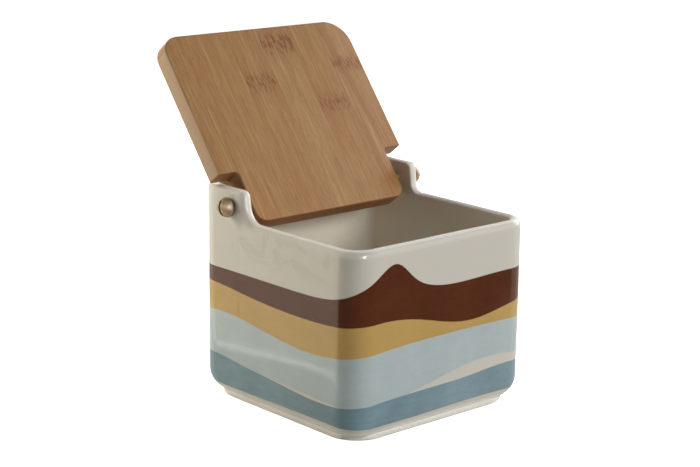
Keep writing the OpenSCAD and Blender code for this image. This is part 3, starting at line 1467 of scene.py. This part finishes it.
@dataclass
class HingeScrew:
    """A round-headed wood screw that is a pin of the hinge.

    Args:
        side: -1 for the left screw, 1 for the right one.
        turn: Turn of its slot, in degrees.
        hinge: How far behind the middle and how high the hinge axis is.
        seat: Distance of the head's underside from the middle of the bowl.
        head: Radius of the head.
        edge: Height of the head's round edge.
        dome: Height of the dome above it.
        slot_width: Width of the slot.
        slot_depth: Its depth from the top of the dome.
        slot_ease: How far its worn lips reach out.
        slot_round: How far they drop.
        slot_dirt: Depth of slot that is full of patina.
        snug: How far the slot's wall leans in.
        shank: Radius of the plain shank and of the thread's crests.
        shank_length: Length of the plain shank.
        core: Radius between the thread's crests.
        pitch: Distance from crest to crest.
        thread: Length of the full thread.
        tip: Length of its tapered end.
        point: Radius of the blunt point.
    """

    side: int
    turn: float
    hinge: tuple[float, float] = (31.0, 93.0)
    seat: float = 55.7
    head: float = 4.65
    edge: float = 1.6
    dome: float = 4.2
    slot_width: float = 1.3
    slot_depth: float = 1.9
    slot_ease: float = 0.14
    slot_round: float = 0.1
    slot_dirt: float = 0.6
    snug: float = 0.02
    shank: float = 2.05
    shank_length: float = 12.5
    core: float = 1.42
    pitch: float = 1.8
    thread: float = 9.0
    tip: float = 3.0
    point: float = 0.25

    @property
    def dome_radius(self) -> float:
        """Radius of the sphere that the dome is a cap of."""
        return (self.head**2 + self.dome**2) / (2 * self.dome)

    def top(self, across: float, along: float) -> tuple[float, float]:
        """Surface of the slotted dome.

        Args:
            across: Distance from the slot's middle.
            along: Distance along the slot.

        Returns:
            Height above the head's underside, and how deep in the slot it is from 0 to 1.
        """
        ball = self.dome_radius
        flat = min(ball, math.hypot(across, along))
        skin = self.edge + self.dome - ball + math.sqrt(max(0.0, ball * ball - flat * flat))
        bottom = self.edge + self.dome - self.slot_depth
        share = (abs(across) - (self.slot_width / 2 - self.snug)) / self.slot_ease
        if share > 0:
            return skin - (1 - min(1.0, share)) ** 2 * self.slot_round, 0.0
        depth = skin - bottom
        return (bottom, min(1.0, depth / self.slot_dirt)) if depth > 0 else (skin, 0.0)

    def crown(self, clay: Clay) -> Ring:
        """Make the slotted dome.

        Args:
            clay: The mesh, whose marks already hold a list for the patina and the painted shade.

        Returns:
            The dome's rim.
        """
        half, chord, steps = self.slot_width / 2, 28, 14
        out = [half, half + 0.03, half + 0.07, half + 0.12]
        rest = self.head - out[-1]
        out += [out[-1] + rest * math.sin(TURN / 4 * i / steps) for i in range(1, steps)]
        grid = []
        for a in [-a for a in reversed(out)] + [self.snug - half, 0.0, half - self.snug] + out:
            wide = math.sqrt(max(0.0, self.head**2 - a * a))
            row = []
            for j in range(chord + 1):
                b = -wide * math.cos(math.pi * j / chord)
                height, deep = self.top(a, b)
                row.append(Vector((a, b, max(self.edge, height))))
                clay.marks["patina_and_painted_shade"].append(deep)
            grid.append(clay.ring(row))
        for low, high in zip(grid, grid[1:]):
            clay.faces += [(low[j], high[j], high[j + 1], low[j + 1]) for j in range(chord)]
        half_rim = [row[-1] for row in grid] + grid[-1][-2:0:-1]
        return half_rim + [row[0] for row in reversed(grid)] + grid[0][1:-1]

    def threaded(self, down: float, angle: float) -> float:
        """Radius of the threaded part.

        Args:
            down: Distance below the start of the thread.
            angle: Angle round the axis.

        Returns:
            The radius.
        """
        left = self.thread + self.tip - down
        if left <= 0:
            return self.point
        phase = (down / self.pitch + self.side * angle / TURN) % 1.0
        crest = max(0.0, 1 - abs(phase - 0.5) / 0.32) ** 1.4
        ridge = (self.shank - self.core) * crest * min(1.0, down / self.pitch)
        return (self.core + ridge) * min(1.0, left / (self.tip * 1.2) + 0.12)

    def shape(self, name: str) -> bpy.types.Object:
        """Turn the screw.

        Args:
            name: The piece's name.

        Returns:
            The piece.
        """
        clay = Clay()
        patina_and_painted_shade = clay.marks.setdefault("patina_and_painted_shade", [])
        rows = [self.crown(clay)]
        around = [math.atan2(clay.points[i].y, clay.points[i].x) for i in rows[0]]
        head, shank, length = self.head, self.shank, self.shank_length
        # Each row's last number darkens it: painted shade on the head's edge and on the shank in the gap
        # under it, less further down.
        turned = [
            (head, self.edge * 0.8, 0.5),
            (head - 0.1, self.edge * 0.4, 1.0),
            (head - 0.5, 0.0, 1.0),
            (shank + 0.15, 0.0, 0.9),
            (shank, -0.15, 0.7),
            (shank, -length / 2, 0.3),
            (shank, -length, 0.3),
        ]
        for radius, height, deep in turned:
            rows.append(round_row(clay, [radius] * len(around), around, height))
            patina_and_painted_shade += [deep] * len(around)
        count = 60
        for i in range(1, count + 1):
            down = (self.thread + self.tip) * i / count
            radii = [self.threaded(down, a) for a in around]
            rows.append(round_row(clay, radii, around, -length - down))
            patina_and_painted_shade += [0.35] * len(around)
        clay.sheet(rows)
        clay.lid(rows[-1])
        return clay.fire(name, crease=38.0)

    def build(self) -> bpy.types.Object:
        """Make, age and hand over the screw.

        Returns:
            The piece.
        """
        word = "left" if self.side < 0 else "right"
        piece = self.shape(f"brass_screw_{word}")
        y, z = self.hinge
        aim = Matrix.Rotation(self.side * TURN / 4, 4, "Y") @ Matrix.Rotation(math.radians(self.turn), 4, "Z")
        piece.matrix_world = Matrix.Translation((self.side * self.seat * MM, y * MM, z * MM)) @ aim
        hand_over(piece, AgedBrass().material(), Body.LID, f"hinge_screw_{word}")
        return piece


# ---------------------------------------------------------------- the studio


@dataclass(frozen=True)
class SoftBox:
    """A soft lamp that looks at the bowl.

    Args:
        name: Its name.
        turn: Where it stands, in degrees from the front towards the right.
        height: How high it is above the level, in degrees.
        away: Its distance, in metres.
        size: Width and height of its face, in metres.
        power: Its power, in watts.
        tint: Its colour.
        reach: What it lights.
        aim_up: Height of the point that it looks at, in metres.
    """

    name: str
    turn: float
    height: float
    away: float
    size: tuple[float, float]
    power: float
    tint: Colour
    reach: Reach
    aim_up: float = 0.06

    def hang(self) -> bpy.types.Object:
        """Hang the lamp.

        Returns:
            The lamp.
        """
        lamp = bpy.data.lights.new(self.name, "AREA")
        lamp.shape = "RECTANGLE"
        lamp.size, lamp.size_y = self.size
        lamp.energy = self.power
        lamp.color = self.tint
        piece = bpy.data.objects.new(self.name, lamp)
        way = way_to(self.turn, self.height)
        piece.location = Vector((0.0, 0.0, self.aim_up)) + way * self.away
        piece.rotation_euler = way.to_track_quat("Z", "Y").to_euler()
        piece.visible_camera = False
        piece.visible_diffuse = self.reach is not Reach.GLOSS
        piece.visible_glossy = self.reach is not Reach.MATT
        bpy.context.scene.collection.objects.link(piece)
        return piece


@dataclass
class Studio:
    """Floor, lamps and camera.

    Args:
        turn: Where the camera stands, in degrees from the front towards the right.
        height: How high it is above the level, in degrees.
        roll: How far it leans, in degrees.
        away: Its distance, in metres.
        aim_up: Height of the point that it looks at, in metres.
        aim_side: How far that point lies to the right, in metres.
        lens: Its focal length, in millimetres.
        lamps: The lamps.
        sky: What gloss mirrors low down.
        ceiling: What it mirrors overhead.
    """

    turn: float = -41.98
    height: float = 13.86
    roll: float = 0.77
    away: float = 0.8576
    aim_up: float = 0.0778
    aim_side: float = -0.00656
    lens: float = 94.57
    lamps: tuple[SoftBox, ...] = (
        SoftBox("key_lamp", 12.0, 24.0, 1.3, (0.7, 0.4), 9.5, (1.0, 1.0, 0.99), Reach.MATT),
        SoftBox("left_box", -140.0, 18.0, 0.8, (0.35, 0.35), 2.25, (1.0, 0.94, 0.81), Reach.MATT),
        SoftBox("back_box", -160.0, 26.0, 0.7, (0.4, 0.4), 2.7, (1.0, 0.94, 0.81), Reach.MATT),
        SoftBox("right_box", 90.0, 20.0, 1.0, (0.6, 0.6), 4.1, (1.0, 0.98, 0.95), Reach.ALL),
        SoftBox("top_box", 0.0, 86.0, 1.0, (0.5, 0.5), 1.4, (1.0, 0.99, 0.96), Reach.MATT),
        SoftBox("catch_light", -16.0, 16.0, 1.3, (0.3, 0.5), 8.0, (0.97, 0.99, 1.0), Reach.GLOSS),
    )
    sky: Colour = (1.2, 1.2, 1.2)
    ceiling: Colour = (0.15, 0.15, 0.15)

    def set_up(self) -> None:
        """Lay the floor, hang the lamps and the sky, and set the camera."""
        PaleFloor().lay()
        for lamp in self.lamps:
            lamp.hang()
        self.hang_sky()
        self.stand_camera()
        bpy.context.scene.view_settings.view_transform = "Standard"

    def hang_sky(self) -> None:
        """Give the gloss something to mirror: air that is pale low down and darker above."""
        world = bpy.data.worlds.new("studio_air")
        bpy.context.scene.world = world
        world.use_nodes = True
        air = Nodes(world.node_tree)
        way = air.node("ShaderNodeTexCoord", {}, {}).outputs["Generated"]
        up = air.node("ShaderNodeSeparateXYZ", {}, {0: way}).outputs["Z"]
        stops = ((0.3, self.sky), (0.85, self.ceiling))
        dome = air.node("ShaderNodeValToRGB", {"stops": stops}, {0: up})
        light = next(n for n in world.node_tree.nodes if n.type == "BACKGROUND")
        air.tree.links.new(dome.outputs[0], light.inputs["Color"])
        world.cycles_visibility.diffuse = False

    def stand_camera(self) -> None:
        """Stand the camera where it looks at the bowl from the front left."""
        back = way_to(self.turn, self.height)
        turn, roll = math.radians(self.turn), math.radians(self.roll)
        side = Vector((math.cos(turn), math.sin(turn), 0.0))
        up = back.cross(side)
        right = side * math.cos(roll) + up * math.sin(roll)
        top = up * math.cos(roll) - side * math.sin(roll)
        spot = Vector((0.0, 0.0, self.aim_up)) + side * self.aim_side + back * self.away
        camera = bpy.data.cameras.new("camera")
        camera.lens = self.lens
        camera.sensor_width = 36.0
        camera.clip_start = 0.01
        piece = bpy.data.objects.new("camera", camera)
        axes = Matrix((right, top, back)).transposed().to_4x4()
        piece.matrix_world = Matrix.Translation(spot) @ axes
        bpy.context.scene.collection.objects.link(piece)
        bpy.context.scene.camera = piece


def main() -> None:
    """Build the studio and every piece of the sugar bowl."""
    logging.basicConfig(level=logging.INFO, format="%(name)s: %(message)s")
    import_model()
    Studio().set_up()
    CeramicBowl().build()
    BambooLid().build()
    HingeScrew(-1, 102.0, seat=55.4).build()
    HingeScrew(1, 24.0, seat=58.0).build()


if __name__ == "__main__":
    main()
